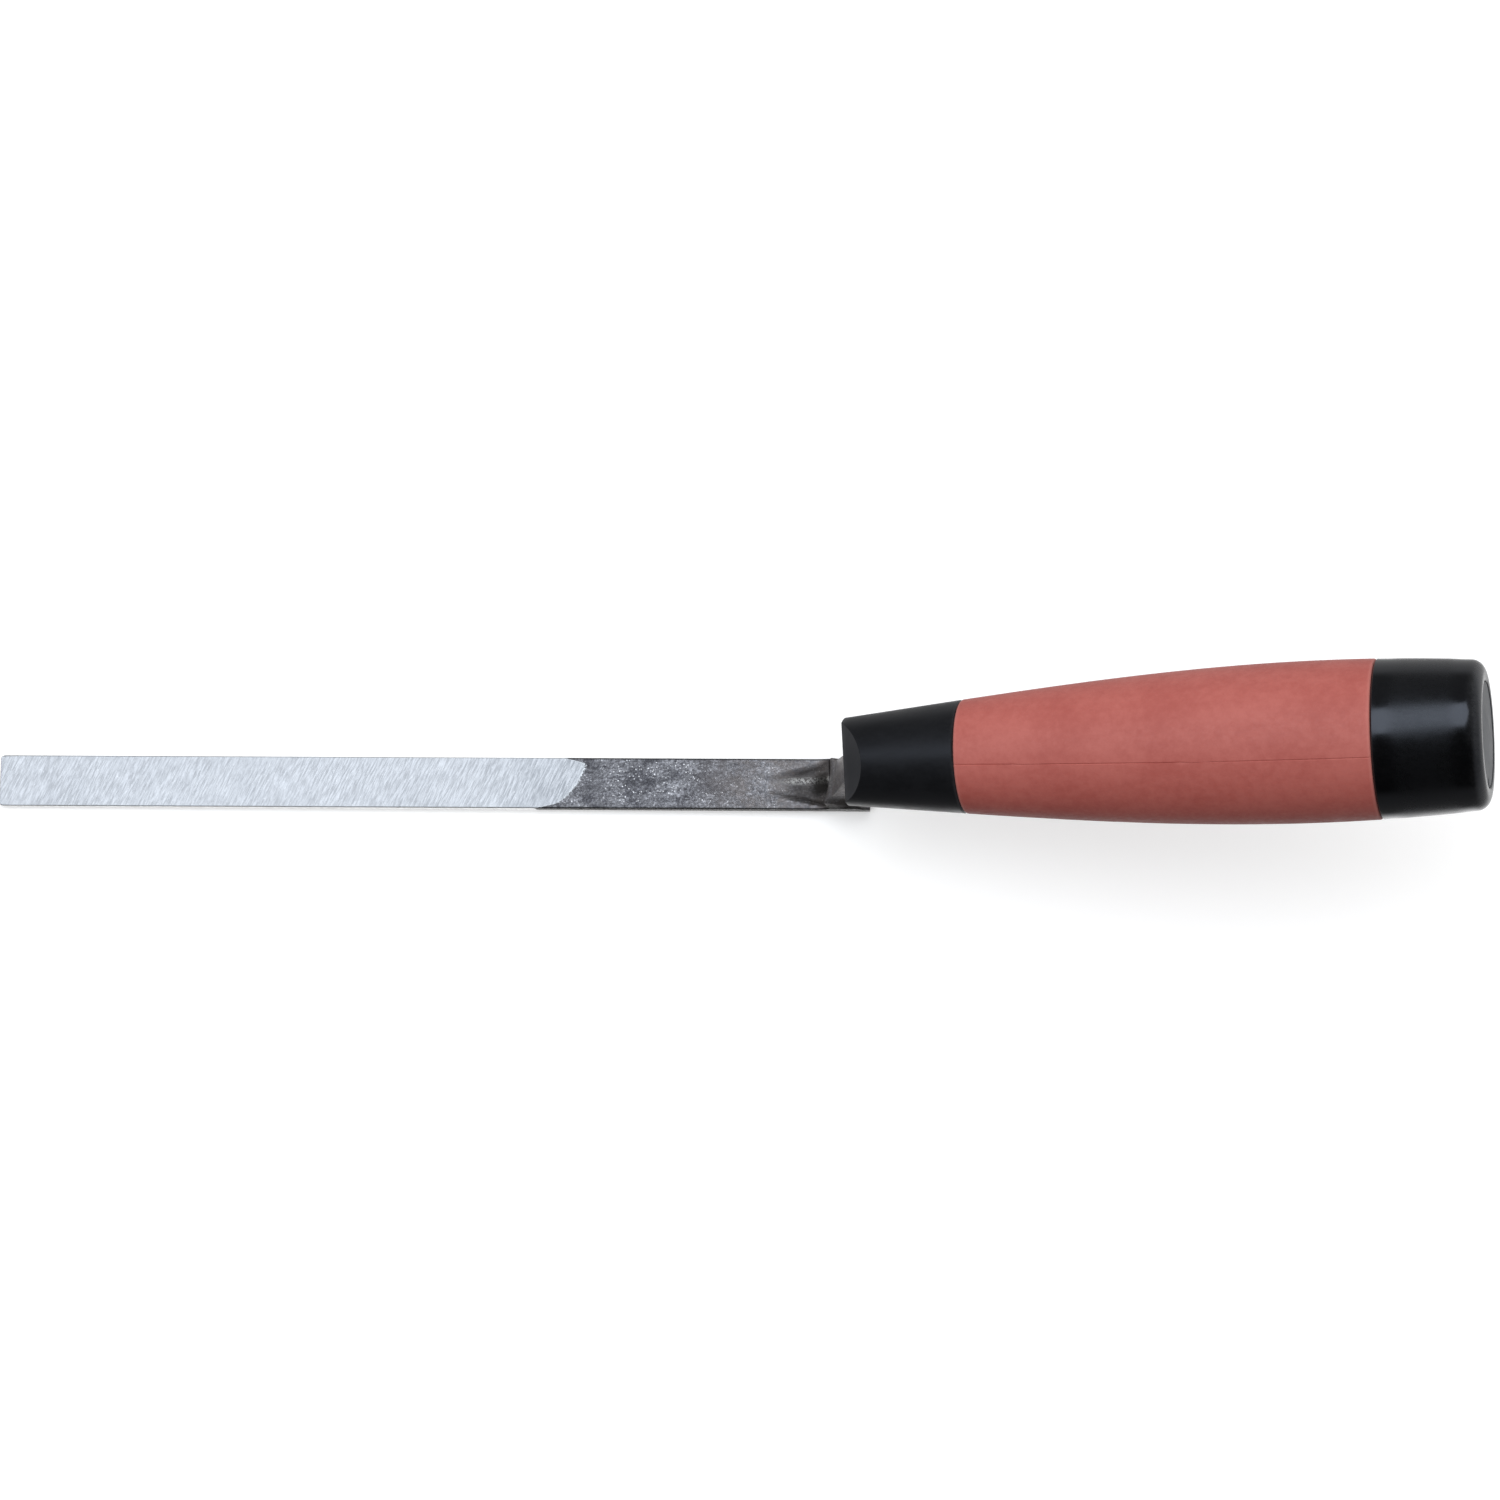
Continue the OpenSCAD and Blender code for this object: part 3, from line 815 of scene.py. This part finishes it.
# %% Nose
hole_r = tang_r + 0.05 * MM
socket_r = 6.65 * MM
socket_s = 8.0 * MM
groove = 0.3 * MM
flat_angle = math.radians(14.0)
flat_rise, flat_len = 3.8 * MM, 4.6 * MM
rim_round = 0.30 * MM
nose_outline = [(hole_r, 0.0)] + [(handle_r(0.0), 0.0)] + skin(1.2 * MM, bolster_end - groove, 26)
nose_outline += [(handle_r(bolster_end) - groove, bolster_end), (socket_r, bolster_end), (socket_r, socket_s),
                 (hole_r, socket_s), (hole_r, 0.0)]
nose = turned(nose_outline)
flat_turn = Matrix.Rotation(flat_angle, 3, "Z")
flat_low = flat_turn @ Vector((-flat_rise, 0.0, 0.0))
flat_high = flat_turn @ Vector((-handle_r(flat_len), 0.0, flat_len))
flat_way = (flat_high - flat_low).normalized()
flat_out = flat_way.cross(flat_turn @ Vector((0.0, 1.0, 0.0))).normalized()
cut = bmesh.ops.bisect_plane(nose, geom=nose.verts[:] + nose.edges[:] + nose.faces[:], plane_co=flat_low,
                             plane_no=flat_out, clear_outer=True, dist=1e-7)
flat_rim = [item for item in cut["geom_cut"] if isinstance(item, bmesh.types.BMEdge)]
bmesh.ops.holes_fill(nose, edges=flat_rim)
bmesh.ops.recalc_face_normals(nose, faces=nose.faces)
front_rim = [e for e in nose.edges if all(abs(v.co.z) < 1e-6 and v.co.xy.length > 4.0 * MM for v in e.verts)]
flat_rim = [e for e in nose.edges if len(e.link_faces) == 2 and e.calc_face_angle(0.0) > math.radians(15.0)
            and all(abs((v.co - flat_low).dot(flat_out)) < 1e-6 for v in e.verts)]
rounded = list(set(front_rim + flat_rim))
bmesh.ops.bevel(nose, geom=rounded, offset=rim_round, offset_type="OFFSET", segments=4, profile=0.5,
                affect="EDGES", material=-1, clamp_overlap=True)
make_piece(nose, "nose_bolster", "front_bolster", satin_black)

# %% [markdown]
# ## The grip
# The soft grip is a sleeve over the core. Its two ends are rounded lips, which leave a shadow line against
# the hard mouldings. The two halves of its mould met in a plane through the axis: three cuts beside each
# other give the seam its own narrow strip, and the middle row of points is pressed in.

# %% Grip
grip_wall = 2.35 * MM
front_lip, rear_lip = 0.55 * MM, 0.45 * MM
joint_gap = 0.03 * MM
grip_front = bolster_end + joint_gap
grip_rear = cap_start - joint_gap
outer = skin(grip_front, grip_rear, 70)
inner = [(handle_r(s) - grip_wall, s) for s in np.linspace(grip_rear, grip_front, 20)]
grip = turned(outer + inner + outer[:1], steps=160)
round_rim(grip, handle_r(grip_front), grip_front, front_lip, 5)
round_rim(grip, handle_r(grip_rear), grip_rear, rear_lip, 5)
seam_angle = math.radians(24.2)
seam_out = Vector((math.sin(seam_angle), -math.cos(seam_angle), -0.0124)).normalized()
seam_through = Vector((0.0, 0.0, grip_rear))
seam_half, seam_depth = 0.16 * MM, 0.14 * MM
for side in (-1.0, 0.0, 1.0):
    bmesh.ops.bisect_plane(grip, geom=grip.verts[:] + grip.edges[:] + grip.faces[:],
                           plane_co=seam_through + seam_out * side * seam_half, plane_no=seam_out, dist=1e-8)
pressed = [v for v in grip.verts if abs((v.co - seam_through).dot(seam_out)) < 1e-7
           and v.co.xy.length > handle_r(v.co.z) - 0.6 * MM]
for v in pressed:
    inward = 1.0 - seam_depth / v.co.xy.length
    v.co = Vector((v.co.x * inward, v.co.y * inward, v.co.z))
print("seam points:", len(pressed))
make_piece(grip, "soft_grip", "grip_sleeve", soft_red)

# %% [markdown]
# ## The end cap and its plug
# The cap is a turned cup that closes the handle. Its outer edge is generously rounded, because it presses
# into the palm. The plug is a separate satin disc in a recess of the cap, with a shallow dome and a small
# notch for prising it out.

# %% End cap
plug_start, plug_end = span("butt_plug")
seat_s = plug_end - 3.1 * MM
plug_r = float(measure("butt_plug")[1].max())
well_r = plug_r + 0.16 * MM
butt_round, well_round = 2.5 * MM, 0.35 * MM
skirt_r = 8.2 * MM
core_spigot_r = 11.25 * MM
cap_socket = cap_start + 10.5 * MM
cap_outline = [(core_spigot_r, cap_start), (handle_r(cap_start) - groove, cap_start)]
cap_outline += skin(cap_start + groove, handle_len - butt_round - 0.4 * MM, 20) + [(butt_r, handle_len)]
cap_outline += [(well_r, handle_len), (well_r, seat_s), (skirt_r, seat_s), (skirt_r, cap_socket),
                (core_spigot_r, cap_socket), (core_spigot_r, cap_start)]
end_cap = turned(cap_outline, steps=176)
round_rim(end_cap, butt_r, handle_len, butt_round, 10)
round_rim(end_cap, well_r, handle_len, well_round, 4)
make_piece(end_cap, "end_cap", "rear_cap", gloss_black)

# %% [markdown]
# The disc is turned too. Its notch could be a boolean cut, but lowering the few rim points near the notch's
# middle keeps the mesh closed and clean.

# %% Plug
dome, disc_round = 0.13 * MM, 0.3 * MM
spigot_r = skirt_r - 0.1 * MM
spigot_bore = spigot_r - 1.4 * MM
crown_s = handle_len - 0.02 * MM
plug_outline = [(0.0, crown_s)]
plug_outline += [(plug_r * u, crown_s - dome * u * u) for u in np.linspace(0.1, 1.0, 12)]
plug_outline += [(plug_r, seat_s), (spigot_r, seat_s), (spigot_r, plug_start),
                 (spigot_bore, plug_start), (spigot_bore, seat_s), (0.0, seat_s)]
plug = turned(plug_outline, steps=144)
round_rim(plug, plug_r, crown_s - dome, disc_round, 5)
notch_at = Vector((0.0, -plug_r, plug_end))
notch_r, notch_depth = 1.3 * MM, 0.9 * MM
for v in plug.verts:
    reach = (Vector((v.co.x, v.co.y, plug_end)) - notch_at).length
    if v.co.z > seat_s + 0.5 * MM and reach < notch_r:
        v.co.z -= notch_depth * ease((notch_r - reach) / MM)
make_piece(plug, "butt_disc", "butt_plug", satin_grey)

# %% [markdown]
# ## Hidden pieces
# The core and the washer have the right shape already, so the CAD nodes stay and only get their materials.

# %% Hidden pieces
for name, material in (("handle_core", core_plastic), ("tang_washer", washer_steel)):
    data = frame["nodes"][name].data
    data.materials.clear()
    data.materials.append(material)
    print(name, "gets", material.name)

# %% [markdown]
# ## Studio
# The tool lies on a plain pale floor under one big softbox, which stands above and a little behind it. The
# softbox lights the ground steel and draws the long highlight on the cap. The world does the rest, and it
# answers each kind of ray differently: matt surfaces get a soft fill from the softbox's side, glossy
# surfaces reflect a dim room with a pale floor and pale ends, and the camera sees plain white.

# %% Floor and softbox
def make_light(name, place, aim, size, power, colour):
    """A rectangular softbox at a place that points at aim. size is (width, height) in metres."""
    data = bpy.data.lights.new(name, "AREA")
    data.shape = "RECTANGLE"
    data.size, data.size_y = size
    data.energy = power
    data.color = colour
    light = bpy.data.objects.new(name, data)
    bpy.context.scene.collection.objects.link(light)
    direction = Vector(aim) - Vector(place)
    light.matrix_world = Matrix.Translation(place) @ direction.to_track_quat("-Z", "Y").to_matrix().to_4x4()


middle = (60.0 * MM, 0.0, 20.0 * MM)
make_light("top_softbox", (-0.12, 0.19, 0.88), middle, (0.94, 0.42), 2.9, (0.88, 0.94, 1.0))

floor_gap = 0.2 * MM
floor_bm = bmesh.new()
bmesh.ops.create_grid(floor_bm, x_segments=8, y_segments=8, size=4.0)
floor_mesh = bpy.data.meshes.new("floor")
floor_bm.to_mesh(floor_mesh)
floor_bm.free()
floor = bpy.data.objects.new("floor", floor_mesh)
bpy.context.scene.collection.objects.link(floor)
for v in floor_mesh.vertices:
    v.co.z = -floor_gap
paper = bpy.data.materials.new("pale_paper")
paper.use_nodes = True
paper_shader = paper.node_tree.nodes["Principled BSDF"]
paper_shader.inputs["Base Color"].default_value = (0.90, 0.90, 0.90, 1.0)
paper_shader.inputs["Roughness"].default_value = 0.9
paper_shader.inputs["Specular IOR Level"].default_value = 0.1
paper_shader.inputs["Emission Color"].default_value = (1.0, 1.0, 1.0, 1.0)
paper_shader.inputs["Emission Strength"].default_value = 0.20
floor_mesh.materials.append(paper)
floor.visible_glossy = False
floor.visible_diffuse = False
print("the floor lies below the blade by, mm:", floor_gap / MM)

# %% [markdown]
# The fill for matt surfaces grows towards the softbox's side. The room that glossy surfaces reflect is
# dark, with a paler ceiling behind, a pale floor that is brightest straight below, and pale ends.

# %% World
key_direction = Vector((-0.10, 0.40, 0.91)).normalized()
world = bpy.data.worlds.new("studio_world")
world.use_nodes = True
sky = world.node_tree
view = node(sky, "ShaderNodeTexCoord").outputs["Generated"]
way = node(sky, "ShaderNodeSeparateXYZ")
sky.links.new(view, way.inputs["Vector"])
key_side = node(sky, "ShaderNodeVectorMath", operation="DOT_PRODUCT")
sky.links.new(view, key_side.inputs[0])
key_side.inputs[1].default_value = key_direction
fill = remap(sky, key_side.outputs["Value"], -0.30, 1.0, 0.08, 1.34)

ceiling = remap(sky, way.outputs["Y"], -0.35, 0.60, 0.02, 0.15)
pale_floor = product(sky, remap(sky, way.outputs["Z"], 0.02, -0.28),
                     remap(sky, way.outputs["Y"], -0.40, 0.40, 0.12, 0.32))
straight_down = remap(sky, way.outputs["Z"], -0.80, -0.98, 0.0, 1.2)
butt_end = remap(sky, way.outputs["X"], 0.30, 0.90, 0.0, 0.34)
tip_end = remap(sky, way.outputs["X"], -0.50, -0.95, 0.0, 0.50)
room = total(sky, ceiling, pale_floor, straight_down, butt_end, tip_end)

ray = node(sky, "ShaderNodeLightPath")
lit = mix_value(sky, ray.outputs["Is Glossy Ray"], fill, room)
white = node(sky, "ShaderNodeValue")
white.outputs[0].default_value = 1.0
shown = mix_value(sky, ray.outputs["Is Camera Ray"], lit, white.outputs[0])
sky.nodes["Background"].inputs["Color"].default_value = (1.0, 1.0, 1.0, 1.0)
sky.links.new(shown, sky.nodes["Background"].inputs["Strength"])
bpy.context.scene.world = world
bpy.context.scene.view_settings.view_transform = "Standard"
print("nodes in the world:", len(sky.nodes))
